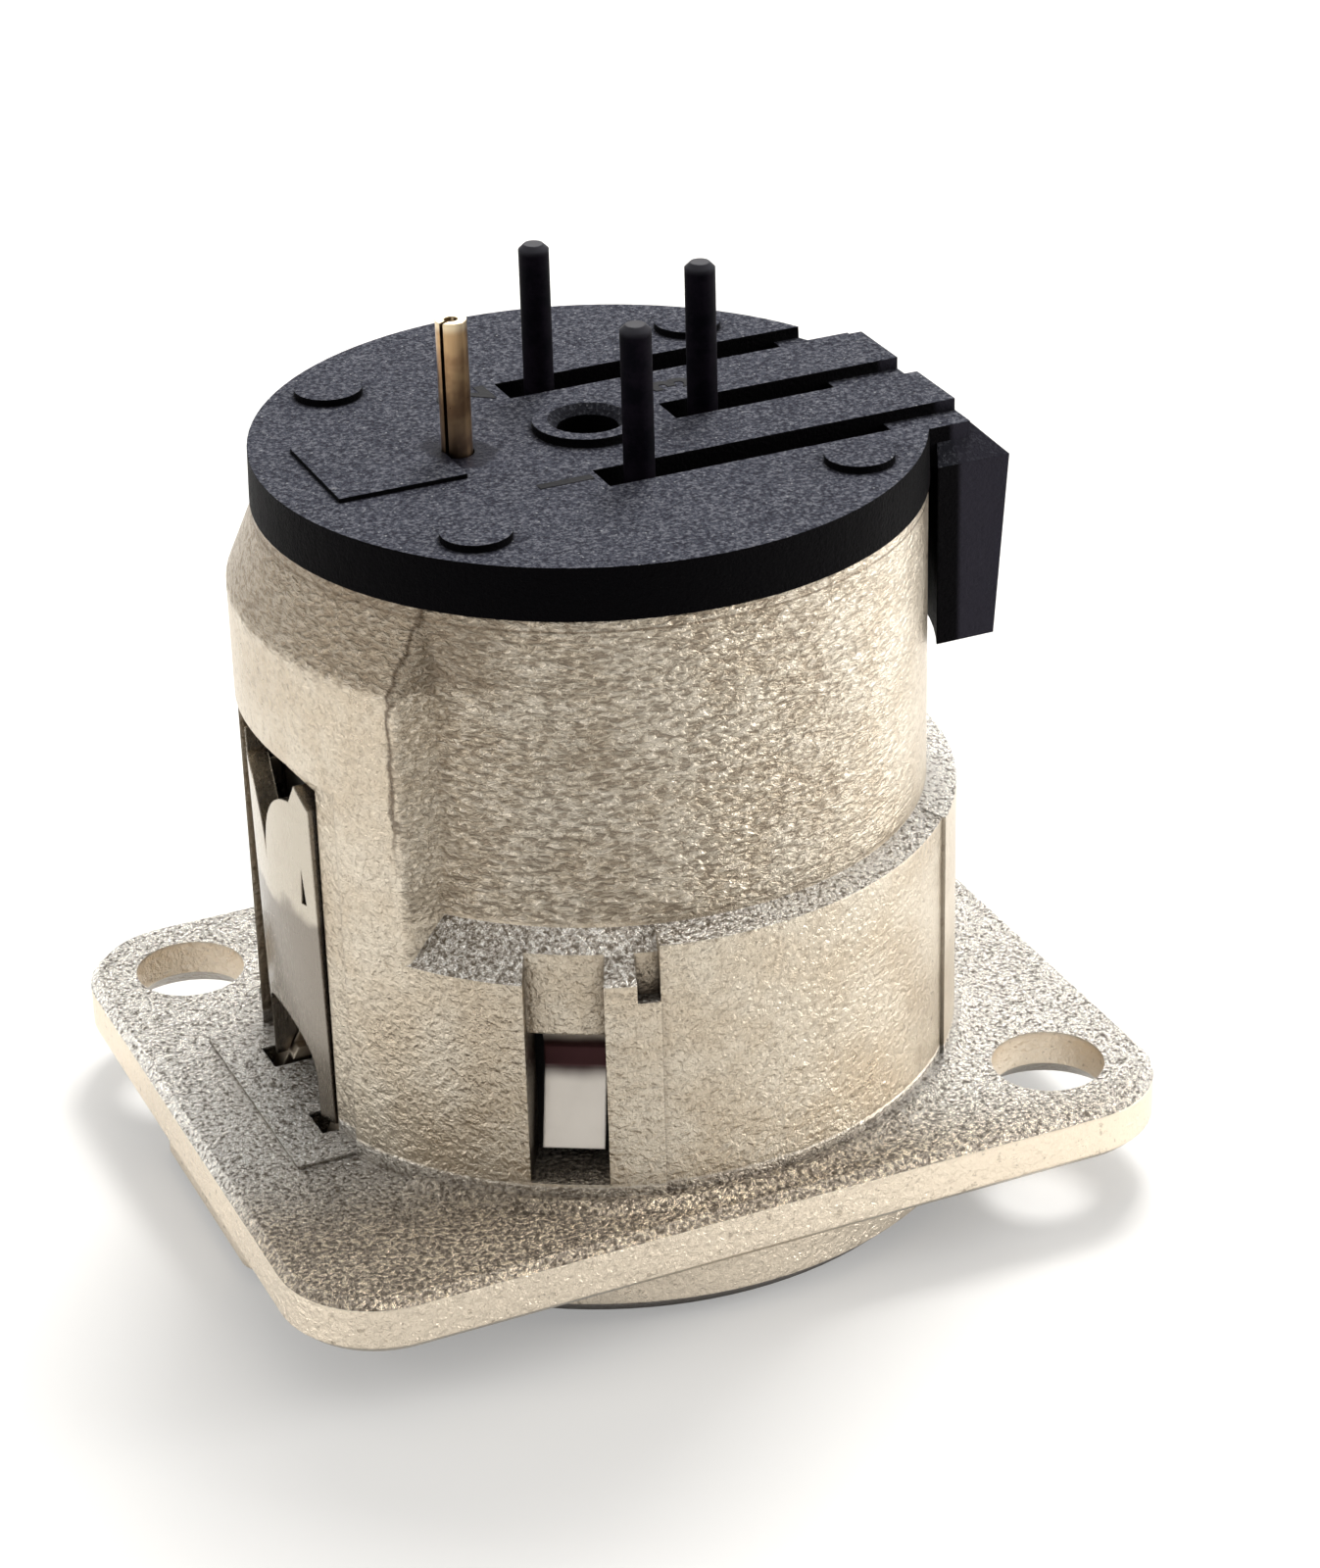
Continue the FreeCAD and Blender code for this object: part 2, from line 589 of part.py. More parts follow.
def latch_ears():
    """Ears folded in at the horns, with the two hinge pins."""
    middle = FLANGE_TOP + HINGE_HEIGHT
    half = EAR_HEIGHT / 2
    outer = sheet_side_out()
    inner = HINGE_OUT - HINGE_PIN_RADIUS - HINGE_CLEARANCE
    ear = box(-outer, -inner, LATCH_HALF_WIDTH - LATCH_THICKNESS, LATCH_HALF_WIDTH,
              middle - half, middle + half)
    pin_end = WINDOW_HALF_WIDTH + HINGE_PIN_LENGTH - HINGE_CLEARANCE
    start = point(-HINGE_OUT, LATCH_HALF_WIDTH - LATCH_THICKNESS, middle)
    pin = Part.makeCylinder(HINGE_PIN_RADIUS, pin_end - start.y, start, Y_AXIS)
    return both_sides(ear.fuse(pin))


def latch_feet():
    """Flattened leg ends whose lower inner corners are slanted to match the ramps."""
    low = FLANGE_TOP + LEG_BOTTOM
    inner = foot_inner_out()
    outer = sheet_side_out()
    section = [(inner + RAMP_SLOPE * RAMP_FACE, low, 0), (outer, low, 0), (outer, low + 2 * RAMP_FACE, 0),
               (inner + LATCH_THICKNESS / 2, low + 2 * RAMP_FACE, 0), (inner, low + RAMP_FACE, 0)]
    foot = side_slab(section, LATCH_HALF_WIDTH)
    return both_sides(foot.common(box(-FAR, 0, LEG_INNER, LATCH_HALF_WIDTH, 0, FAR)))


def ramp_side_cutter():
    """All that lies inside the slanted plane of the feet and the level of their inner face."""
    low = FLANGE_TOP + LEG_BOTTOM
    inner = foot_inner_out()
    high = low + 2 * RAMP_FACE
    section = [(0, low - FIT, 0), (inner + RAMP_SLOPE * (RAMP_FACE + FIT), low - FIT, 0),
               (inner, low + RAMP_FACE, 0), (inner, high, 0), (0, high, 0)]
    return side_slab(section, LATCH_HALF_WIDTH)


def latch():
    pivot = point(-HINGE_OUT, 0, FLANGE_TOP + HINGE_HEIGHT)
    sheet = latch_sheet().rotate(pivot, Y_AXIS, -LATCH_LEAN)
    sheet = sheet.cut(ramp_side_cutter())
    return sheet.fuse(latch_hook()).fuse(latch_ears()).fuse(latch_feet()).removeSplitter()


def latch_spring():
    """Bowed leaf on the pocket's floor whose wide end presses the horns outwards."""
    seat = POCKET_RADIUS + LEAF_THICKNESS / 2 + FIT
    narrow_top = FLANGE_TOP + HINGE_HEIGHT + EAR_HEIGHT / 2 + 4 * FIT
    bottom = narrow_top - LEAF_LENGTH
    top = narrow_top + LEAF_RISE
    path = [(seat, bottom), (seat, narrow_top), (seat + LEAF_BOW, top)]
    leaf = side_slab(folded_strip(path, LEAF_THICKNESS, LEAF_THICKNESS), LATCH_HALF_WIDTH - LATCH_GAP)
    lower_sides = box(-FAR, 0, LEAF_HALF_WIDTH, FAR, bottom - FIT, narrow_top)
    return leaf.cut(both_sides(lower_sides))


# Contact carrier and contacts

def contact_places():
    return [(0, -CONTACT_CIRCLE), (0, CONTACT_CIRCLE), (CONTACT_CIRCLE, 0)]


def contact_carrier():
    """Nose with three socket bores and a keyway, base that seats in the barrel."""
    top_radius = COUNTERBORE_RADIUS - FIT
    body = turned([(0, NOSE_SET_BACK), (NOSE_RADIUS - NOSE_EDGE, NOSE_SET_BACK),
                   (NOSE_RADIUS, NOSE_SET_BACK + NOSE_EDGE), (NOSE_RADIUS, BORE_DEPTH),
                   (top_radius, BORE_DEPTH), (top_radius, CARRIER_TOP), (0, CARRIER_TOP)])
    keyway = box(-FAR, -NOSE_RADIUS + KEYWAY_DEPTH, -KEYWAY_WIDTH / 2, KEYWAY_WIDTH / 2, 0, BORE_DEPTH)
    body = body.cut(keyway)
    for x, y in contact_places():
        body = body.cut(contact_passage(x, y))
    body = body.cut(rod(RING_HOLE_RADIUS, COVER_TOP - RING_DEPTH, FAR))
    strap_low = CARRIER_TOP - STRAP_THICKNESS - FIT
    half = STRAP_HALF_WIDTH + FIT
    strap = box(-FAR, -GROUND_PIN_OUT + TAIL_RADIUS + 2 * FIT, -half, half, strap_low, FAR)
    drop_inner = top_radius - STRAP_THICKNESS - 3 * FIT
    drop = box(-FAR, -drop_inner, -half, half, CARRIER_TOP - STRAP_DROP - FIT, FAR)
    return body.cut(strap).cut(drop)


def contact_passage(x, y):
    """Bore of one contact: pin entry with a lead-in, sleeve bore and shoulder seat."""
    entry = SOCKET_BORE_RADIUS + 2 * FIT
    lead = entry + NOSE_EDGE
    profile = [(0, 0), (lead, 0), (lead, NOSE_SET_BACK), (entry, NOSE_SET_BACK + NOSE_EDGE),
               (entry, SOCKET_FRONT - FIT), (SOCKET_RADIUS + FIT, SOCKET_FRONT - FIT),
               (SOCKET_RADIUS + FIT, SHOULDER_BOTTOM), (SHOULDER_RADIUS + FIT, SHOULDER_BOTTOM),
               (SHOULDER_RADIUS + FIT, FAR), (0, FAR)]
    return turned(profile).translate(point(x, y, 0))


def contact(x, y):
    """Turned contact: slotted socket at the front, shoulder, and the tail for the board."""
    socket_end = SOCKET_FRONT + SOCKET_DEPTH
    shoulder_top = SPIGOT_BOTTOM - FIT
    body = turned([(SOCKET_BORE_RADIUS, SOCKET_FRONT), (SOCKET_RADIUS, SOCKET_FRONT),
                   (SOCKET_RADIUS, SHOULDER_BOTTOM), (SHOULDER_RADIUS, SHOULDER_BOTTOM),
                   (SHOULDER_RADIUS, shoulder_top), (TAIL_RADIUS, shoulder_top),
                   (TAIL_RADIUS, TAIL_HEIGHT - TAIL_TIP), (TAIL_RADIUS - TAIL_TIP, TAIL_HEIGHT),
                   (0, TAIL_HEIGHT), (0, socket_end), (SOCKET_BORE_RADIUS, socket_end)])
    half = SOCKET_SLOT_WIDTH / 2
    slot = box(-SHOULDER_RADIUS, SHOULDER_RADIUS, -half, half, 0, SOCKET_FRONT + SOCKET_SLOT_DEPTH)
    slot = slot.rotate(ORIGIN, Z_AXIS, SOCKET_SLOT_ANGLE)
    return body.cut(slot).translate(point(x, y, 0))


# Grounding

def ground_pin():
    """Rolled tube with its seam, on a strap that is bent down against the shell."""
    strap_middle = CARRIER_TOP - STRAP_THICKNESS / 2
    end = COUNTERBORE_RADIUS - 2 * FIT - STRAP_THICKNESS / 2
    path = [(GROUND_PIN_OUT, strap_middle), (end, strap_middle), (end, CARRIER_TOP - STRAP_DROP)]
    strap = side_slab(folded_strip(path, STRAP_THICKNESS, STRAP_THICKNESS / 2), STRAP_HALF_WIDTH)
    low = CARRIER_TOP - STRAP_THICKNESS
    tube = turned([(GROUND_BORE_RADIUS, low), (TAIL_RADIUS, low), (TAIL_RADIUS, GROUND_PIN_HEIGHT),
                   (GROUND_BORE_RADIUS, GROUND_PIN_HEIGHT)])
    seam = box(0, FAR, -GROUND_SEAM / 2, GROUND_SEAM / 2, CARRIER_TOP, FAR)
    tube = tube.cut(seam.rotate(ORIGIN, Z_AXIS, GROUND_SEAM_ANGLE))
    tube = tube.translate(point(-GROUND_PIN_OUT, 0, 0))
    return strap.cut(rod(TAIL_RADIUS - FIT, 0, FAR, -GROUND_PIN_OUT)).fuse(tube)


def tongue_seat_out():
    return BORE_RADIUS + TONGUE_THICKNESS + 4 * FIT


def ground_spring():
    """Tongue held in the bore's groove, bowed into the bore and flared out at its free end."""
    seat = BORE_RADIUS + 2 * FIT + TONGUE_THICKNESS / 2
    top = BORE_DEPTH - FIT
    window_top = FLANGE_TOP + SIDE_WINDOW_TOP
    end = FLANGE_TOP + TONGUE_END
    drop = window_top - end
    path = [(seat, top), (seat, window_top), (BORE_RADIUS - TONGUE_BULGE, window_top - drop / 3),
            (BORE_RADIUS - TONGUE_BULGE, window_top - drop / 2), (BORE_RADIUS + TONGUE_FLARE, end)]
    strip = side_slab(folded_strip(path, TONGUE_THICKNESS, TONGUE_THICKNESS), TONGUE_WIDTH / 2)
    half = TONGUE_WIDTH / 2
    corners = [(point(-FAR, -half, end - 1), 0), (point(-FAR, half, end - 1), 0),
               (point(-FAR, half, FAR), 0), (point(-FAR, -half, FAR), 0)]
    outline = Part.Face(rounded_wire([(corner, TONGUE_CORNER if corner.z < end else radius)
                                      for corner, radius in corners])).extrude(point(FAR, 0, 0))
    return at_side_window(strip.common(outline))


# Rear cover

def cover_disc():
    """Disc with the spigot that centres it in the barrel."""
    spigot = COUNTERBORE_RADIUS - 2 * FIT
    return turned([(0, SPIGOT_BOTTOM), (spigot, SPIGOT_BOTTOM), (spigot, BARREL_TOP),
                   (COVER_RADIUS, BARREL_TOP), (COVER_RADIUS - COVER_DRAFT, COVER_TOP), (0, COVER_TOP)])


def side_block():
    """Hipped block outside the barrel, joined to the disc by a bridge."""
    eaves = COVER_TOP - BLOCK_ROOF
    bottom = eaves - BLOCK_LENGTH
    inside = UPPER_RADIUS / 2

    def level(out, half_width, height):
        corners = [point(inside, -half_width, height), point(out, -half_width, height),
                   point(out, half_width, height), point(inside, half_width, height)]
        return Part.makePolygon(corners + corners[:1])

    low = level(BLOCK_OUT - BLOCK_DRAFT, BLOCK_HALF_WIDTH, bottom)
    middle = level(BLOCK_OUT, BLOCK_HALF_WIDTH, eaves)
    high = level(BLOCK_OUT - BLOCK_ROOF, BLOCK_HALF_WIDTH - BLOCK_ROOF, COVER_TOP)
    body = Part.makeLoft([low, middle], True, True).fuse(Part.makeLoft([middle, high], True, True))
    body = body.cut(rod(UPPER_RADIUS + BLOCK_GAP, 0, FAR))
    bridge = box(inside, UPPER_RADIUS + 2 * BLOCK_GAP, -BRIDGE_HALF_WIDTH, BRIDGE_HALF_WIDTH,
                 BARREL_TOP, COVER_TOP)
    return body.fuse(bridge.cut(rod(COVER_RADIUS / 2, 0, FAR)))


def pin_channels():
    """Three channels that run from the pins to the block, deep first and shallow at the mouth."""
    channels = []
    starts = (CHANNEL_START, CHANNEL_START, MIDDLE_CHANNEL_START)
    for start, (_, y) in zip(starts, contact_places()):
        half = CHANNEL_WIDTH / 2
        deep = box(start, CHANNEL_STEP, y - half, y + half, COVER_TOP - CHANNEL_DEPTH, FAR)
        mouth = box(CHANNEL_STEP, FAR, y - half, y + half, COVER_TOP - CHANNEL_MOUTH_DEPTH, FAR)
        channels.append(deep.fuse(mouth))
    return channels[0].fuse(channels[1]).fuse(channels[2])


def cover_relief():
    """Pads, ring and plateau that stand on the disc."""
    ring = rod(RING_RADIUS, COVER_TOP - FIT, COVER_TOP + RING_HEIGHT)
    relief = ring.fuse(box(-PLATEAU_FAR, -PLATEAU_NEAR, PLATEAU_LOW, PLATEAU_HIGH, COVER_TOP - FIT,
                           COVER_TOP + PLATEAU_HEIGHT))
    for quarter in range(4):
        angle = math.radians(45 + 90 * quarter)
        x, y = PAD_CIRCLE * math.cos(angle), PAD_CIRCLE * math.sin(angle)
        relief = relief.fuse(rod(PAD_RADIUS, COVER_TOP - FIT, COVER_TOP + PAD_HEIGHT, x, y))
    return relief


def rear_cover():
    body = cover_disc().fuse(side_block()).cut(pin_channels()).fuse(cover_relief())
    for x, y in contact_places() + [(-GROUND_PIN_OUT, 0)]:
        body = body.cut(rod(TAIL_RADIUS + FIT, 0, FAR, x, y))
    sink = RING_HOLE_RADIUS + RING_HEIGHT
    top = COVER_TOP + RING_HEIGHT
    body = body.cut(rod(RING_HOLE_RADIUS, 0, FAR)).cut(cone(RING_HOLE_RADIUS, sink, top - RING_HEIGHT, top))
    return body.removeSplitter()


# Whole part

def sub_parts():
    parts = {
        "shell": shell(),
        "contact_carrier": contact_carrier(),
        "rear_cover": rear_cover(),
        "ground_pin": ground_pin(),
        "ground_spring": ground_spring(),
        "latch": latch(),
        "latch_spring": latch_spring(),
        "push_button": push_button(),
    }
    for number, (x, y) in enumerate(contact_places(), start=1):
        parts[f"contact_{number}"] = contact(x, y)
    return parts


def main():
    os.makedirs("parts", exist_ok=True)
    for name, shape in sub_parts().items():
        solids = shape.Solids
        box_size = shape.BoundBox
        print(f"{name:16s} solids {len(solids)} valid {shape.isValid()} volume {shape.Volume:9.2f} "
              f"x {box_size.XMin:.2f}..{box_size.XMax:.2f} y {box_size.YMin:.2f}..{box_size.YMax:.2f} "
              f"z {box_size.ZMin:.2f}..{box_size.ZMax:.2f}")
        shape = solids[0] if len(solids) == 1 else shape
        shape.exportStep(f"parts/{name}.step")


main()
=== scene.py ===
import math

import bpy
from mathutils import Matrix, Vector


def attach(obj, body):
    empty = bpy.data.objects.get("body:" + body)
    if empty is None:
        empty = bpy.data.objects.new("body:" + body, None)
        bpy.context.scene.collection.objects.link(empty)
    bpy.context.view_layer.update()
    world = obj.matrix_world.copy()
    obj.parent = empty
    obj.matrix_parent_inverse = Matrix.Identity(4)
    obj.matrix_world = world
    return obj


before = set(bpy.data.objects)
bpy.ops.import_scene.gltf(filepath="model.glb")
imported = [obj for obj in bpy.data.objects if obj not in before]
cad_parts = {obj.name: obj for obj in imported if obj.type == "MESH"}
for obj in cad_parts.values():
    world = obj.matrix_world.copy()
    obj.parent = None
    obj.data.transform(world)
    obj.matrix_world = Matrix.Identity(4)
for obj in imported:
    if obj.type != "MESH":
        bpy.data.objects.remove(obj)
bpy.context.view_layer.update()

MM = 0.001

# Places on the socket in millimetres, as the solids have them. The latch is on the -X side.
COVER_TOP = 25.92
BARREL_TOP = 24.17
BARREL_RADIUS = 10.9
LEDGE = 13.65
FLANGE_REAR = 4.05
HUMP_HALF = 7.0
HUMP_TOP = 21.45
HUMP_OUT = -8.0
BLOCK_OUT = 10.7
GROUND_PIN_OUT = 4.5
GROUND_PIN_TIP = 30.0
TAIL_TIP = 30.45
SLEEVE_TOP = 13.0

# The height at which the painted shade over the latch's lower part ends, and those between which the ground
# spring gets a band of painted shade
LATCH_PAINTED_SHADE_TOP = 12.0
SPRING_PAINTED_SHADE_BOTTOM = 7.5
SPRING_PAINTED_SHADE_TOP = 8.9

# Colours of the lamps
WARM_LIGHT = (1.0, 0.98, 0.95)
WINDOW_LIGHT = (1.0, 0.99, 0.97)
CEILING_LIGHT = (1.0, 0.985, 0.96)


def tone(red, green, blue):
    return (red, green, blue, 1.0)


SATIN_WARM = tone(0.63, 0.54, 0.42)
SATIN_PALE = tone(0.73, 0.655, 0.54)
# The brown of the painted shade in crevices.
PAINTED_SHADE_BROWN = tone(0.13, 0.095, 0.065)


class Wire:
    """An output of a node, on which sums and products add Math nodes."""

    def __init__(self, finish, socket):
        self.finish = finish
        self.socket = socket

    def maths(self, operation, *others):
        return self.finish.node("ShaderNodeMath", {"operation": operation}, dict(enumerate(others)))

    def __add__(self, other):
        return self.maths("ADD", self, other)

    def __radd__(self, other):
        return self.maths("ADD", other, self)

    def __sub__(self, other):
        return self.maths("SUBTRACT", self, other)

    def __rsub__(self, other):
        return self.maths("SUBTRACT", other, self)

    def __mul__(self, other):
        return self.maths("MULTIPLY", self, other)

    def size(self):
        return self.maths("ABSOLUTE", self)

    def larger(self, other):
        return self.maths("MAXIMUM", self, other)

    def at_most(self, limit):
        return self.maths("MINIMUM", self, limit)


class Nodes:
    """A node tree, with one method that adds any node."""

    def __init__(self, tree):
        self.tree = tree

    def node(self, kind, settings=(), sockets=(), output=0):
        """Adds a node and gives the wire of one output, or with None a dictionary of them all."""
        made = self.tree.nodes.new(kind)
        for name, value in dict(settings).items():
            setattr(made, name, value)
        for name, value in dict(sockets).items():
            self.feed(made.inputs[name], value)
        if output is None:
            return {socket.name: Wire(self, socket) for socket in made.outputs}
        return Wire(self, made.outputs[output])

    def feed(self, socket, value):
        if isinstance(value, Wire):
            self.tree.links.new(value.socket, socket)
        else:
            socket.default_value = value

    def parts(self, vector):
        return self.node("ShaderNodeSeparateXYZ", sockets={0: vector}, output=None).values()

    def joined(self, x, y, z):
        return self.node("ShaderNodeCombineXYZ", sockets={0: x, 1: y, 2: z})

    def length(self, vector):
        return self.node("ShaderNodeVectorMath", {"operation": "LENGTH"}, {0: vector}, output="Value")

    def seen_plainly(self):
        """1 where the camera looks, straight or through a shine or glass."""
        rays = self.node("ShaderNodeLightPath", output=None)
        return (rays["Is Camera Ray"] + rays["Is Glossy Ray"] + rays["Is Transmission Ray"]).at_most(1.0)

    def rise(self, value, low, high):
        """0 below low, 1 above high, and a soft step between them. With high under low it falls."""
        sockets = {"Value": value, "From Min": low, "From Max": high}
        return self.node("ShaderNodeMapRange", {"interpolation_type": "SMOOTHSTEP"}, sockets)

    def between(self, value, low, high, soft):
        return self.rise(value, low - soft, low + soft) * self.rise(value, high + soft, high - soft)


class Finish(Nodes):
    """A material of the socket, with the nodes that make its grain, colour and relief."""

    def __init__(self, name, **constants):
        self.material = bpy.data.materials.new(name)
        self.material.use_nodes = True
        super().__init__(self.material.node_tree)
        self.shader = self.tree.nodes["Principled BSDF"]
        for socket, value in constants.items():
            self.shader.inputs[socket.replace("_", " ")].default_value = value
        place = self.node("ShaderNodeTexCoord", output="Object")
        self.place = self.node("ShaderNodeVectorMath", {"operation": "SCALE"},
                               {"Vector": place, "Scale": 1 / MM})
        self.x, self.y, self.z = self.parts(self.place)
        facing = self.node("ShaderNodeNewGeometry", output="True Normal")
        self.facing_z = list(self.parts(facing))[2]

    def noise(self, scale, detail=3.0, roughness=0.55, distortion=0.0, at=None):
        sockets = {"Vector": at or self.place, "Scale": scale, "Detail": detail, "Roughness": roughness,
                   "Distortion": distortion}
        return self.node("ShaderNodeTexNoise", sockets=sockets)

    def cells(self, scale):
        return self.node("ShaderNodeTexVoronoi", sockets={"Vector": self.place, "Scale": scale})

    def mix(self, share, first, second):
        sockets = {0: share, 6: first, 7: second}
        return self.node("ShaderNodeMix", {"data_type": "RGBA"}, sockets, output=2)

    def layered(self, colour, *layers):
        """The colour under layers of a place, how strongly it is covered there, and with what shade."""
        for where, strength, shade in layers:
            colour = self.mix(where * strength, colour, shade)
        return colour

    def crevices(self, reach):
        """1 where the surface lies open, down to 0 deep in a corner or gap."""
        sockets = {"Distance": reach * MM}
        return self.node("ShaderNodeAmbientOcclusion", {"samples": 4}, sockets, output="AO")

    def rounded(self, radius):
        return self.node("ShaderNodeBevel", {"samples": 4}, {"Radius": radius * MM})

    def relief(self, normal, *bumps):
        """Bumps, each of a height from 0 to 1 and of its depth in millimetres."""
        for height, depth in bumps:
            sockets = {"Height": height, "Distance": depth * MM, "Normal": normal, "Strength": 1.0}
            normal = self.node("ShaderNodeBump", sockets=sockets)
        return normal

    def show(self, **links):
        for socket, value in links.items():
            self.feed(self.shader.inputs[socket.replace("_", " ")], value)
        return self.material


class Casting(Finish):
    """Satin nickel plate over the shell's casting, with the places where each kind of surface lies."""

    def __init__(self):
        super().__init__("plated_casting_satin", Metallic=1.0)
        self.upright = 1.0 - self.rise(self.facing_z.size(), 0.35, 0.7)
        upward = self.rise(self.facing_z, 0.22, 0.5)
        on_hump = (self.rise(self.y.size(), HUMP_HALF + 0.25, HUMP_HALF - 0.35)
                   * self.rise(self.x, HUMP_OUT + 0.5, HUMP_OUT - 0.5)
                   * self.rise(self.z, HUMP_TOP + 0.2, HUMP_TOP - 0.5))
        self.on_barrel = self.rise(self.z, LEDGE - 0.1, LEDGE + 0.25) * self.upright * (1.0 - on_hump)
        flats = upward * self.rise(self.z, LEDGE + 1.0, LEDGE + 0.5)
        foot = self.between(self.z, FLANGE_REAR, FLANGE_REAR + 0.62, soft=0.08) * self.upright
        self.on_flats = flats.larger(foot * 0.7)
        self.on_ledge = upward * self.between(self.z, LEDGE - 3.0, LEDGE + 0.8, soft=0.3)
        self.above_hump = (self.rise(self.z, HUMP_TOP - 0.2, HUMP_TOP + 0.3)
                           * self.rise(self.x, HUMP_OUT + 2.2, HUMP_OUT + 0.6))
        # The collar under the flange gets painted light, lighter and warmer, and less of the painted shade
        # from deep recesses.
        self.collar_painted_light = self.rise(self.z, FLANGE_REAR + 0.1, FLANGE_REAR - 0.2) * self.upright
        self.latch_side = self.rise(self.x, 9.6, 1.5)

    def around(self):
        """The way round the barrel in millimetres, with its seam behind the side block."""
        turn = self.node("ShaderNodeMath", {"operation": "ARCTAN2"}, {0: self.y * -1.0, 1: self.x * -1.0})
        return turn * BARREL_RADIUS

    def corner_seam(self):
        """The jagged dark line down each corner of the hump."""
        jag = self.noise(scale=1.6, detail=3.0, roughness=0.7) - 0.5
        return (self.between(self.y.size() + jag * 0.5, HUMP_HALF - 0.28, HUMP_HALF - 0.14, soft=0.07)
                * self.rise(self.x, HUMP_OUT + 1.0, HUMP_OUT) * self.rise(self.z, 14.5, 17.5) * self.upright)


def plated_casting():
    """The shell: wrinkled barrel, sandy hump and lower barrel, flats with painted sparkle, and painted shade
    and highlights over its relief and crevices.
    """
    plate = Casting()
    on_flats, not_flat = plate.on_flats, 1.0 - plate.on_flats
    out = plate.length(plate.joined(plate.x, plate.y, 0.0))
    wave_place = plate.joined(plate.around() * 3.0, plate.z * 6.4, out * 5.0)
    waves = plate.noise(scale=1.0, detail=3.0, roughness=0.55, distortion=0.5, at=wave_place)
    pores = plate.noise(scale=5.4, detail=3.0, roughness=0.65)
    broad = plate.noise(scale=0.16, detail=1.0)
    cloud = plate.noise(scale=0.42, detail=3.0, roughness=0.6)
    sand = plate.noise(scale=3.9, detail=3.0, roughness=0.6, distortion=0.3)
    crystals = plate.noise(scale=6.6, detail=3.0, roughness=0.68, distortion=0.4)
    pitting = plate.noise(scale=3.1, detail=4.0, roughness=0.72)

    wrinkled = (plate.on_barrel * 0.94 + 0.06) * (plate.latch_side * 0.78 + 0.22) * not_flat
    sandy = (1.0 - plate.on_barrel) * not_flat * (plate.latch_side * 0.7 + 0.3)
    normal = plate.relief(plate.rounded(0.14), (broad, 0.10), (pores, 0.055), (waves * wrinkled, 0.29),
                          (sand * sandy, 0.14), (crystals * on_flats, 0.29))

    # Painted shade: brown darkening in narrow crevices, from ambient occlusion.
    crevice_painted_shade = plate.rise(plate.crevices(0.9), 0.92, 0.35)
    # Painted shade: near-black darkening deep in recesses, from ambient occlusion.
    deep = plate.rise(plate.crevices(5.0), 0.42, 0.16)
    # Painted shade in the wrinkles' valleys and painted highlight on their crests.
    painted_shade_valleys = plate.rise(waves, 0.55, 0.37) * wrinkled
    painted_highlight_crests = plate.rise(waves, 0.52, 0.62) * wrinkled
    # Painted shade in the hollows of the sand relief.
    painted_shade_hollows = plate.rise(sand, 0.47, 0.34) * sandy
    pits = plate.rise(pitting, 0.40, 0.33) * not_flat
    # Painted glints on the flats' high crystals and painted shade on their low ones.
    painted_glint_crystals = on_flats * plate.rise(crystals, 0.52, 0.57)
    painted_shade_crystals = on_flats * plate.rise(crystals, 0.47, 0.40)
    # Painted shade: the front of the flange darker and browner, with golden glints.
    toward_front = plate.rise(plate.y * -1.0 - plate.x * 0.25, 6.5, 12.5)
    painted_shade_front_flange = on_flats * (1.0 - plate.on_ledge) * toward_front
    shaded_ledge = plate.on_ledge * plate.rise(plate.x, 1.5, -2.0)
    rim_line = plate.between(plate.z, BARREL_TOP - 0.42, BARREL_TOP - 0.34, soft=0.03) * plate.upright
    painted_glint_colour = plate.mix(painted_shade_front_flange * 0.8, tone(0.98, 0.96, 0.91), tone(0.90, 0.76, 0.55))
    colour = plate.layered(
        plate.mix(plate.rise(cloud, 0.35, 0.68), SATIN_WARM, SATIN_PALE),
        # The flats near-white: partly their own finer finish, partly a painted highlight.
        (on_flats, 0.85, tone(0.90, 0.88, 0.84)),
        (painted_shade_valleys, 0.62, tone(0.20, 0.15, 0.105)),
        (painted_highlight_crests, 0.5, tone(0.88, 0.80, 0.69)),
        (painted_shade_hollows, 0.32, tone(0.27, 0.21, 0.15)),
        (plate.above_hump, 0.6, tone(0.27, 0.21, 0.145)),
        (painted_shade_front_flange, 0.7, tone(0.31, 0.23, 0.15)),
        (shaded_ledge, 0.5, tone(0.30, 0.25, 0.195)),
        (painted_glint_crystals, 0.9, painted_glint_colour),
        (plate.collar_painted_light, 0.9, tone(0.97, 0.85, 0.69)),
        (painted_shade_crystals, 0.85, tone(0.17, 0.135, 0.10)),
        (pits, 0.5, tone(0.30, 0.235, 0.17)),
        (rim_line, 0.7, tone(0.20, 0.15, 0.10)),
        (plate.corner_seam(), 0.85, tone(0.10, 0.07, 0.045)),
        (crevice_painted_shade, 0.8 - on_flats * 0.5, PAINTED_SHADE_BROWN),
        (deep, 0.92 - plate.collar_painted_light * 0.6 - on_flats * 0.4, tone(0.012, 0.009, 0.008)))
    satin = 0.27 + painted_shade_valleys * 0.08 + plate.rise(cloud, 0.3, 0.7) * 0.08 - on_flats * 0.10 + crevice_painted_shade * 0.2
    return plate.show(Base_Color=colour, Roughness=satin, Normal=normal)


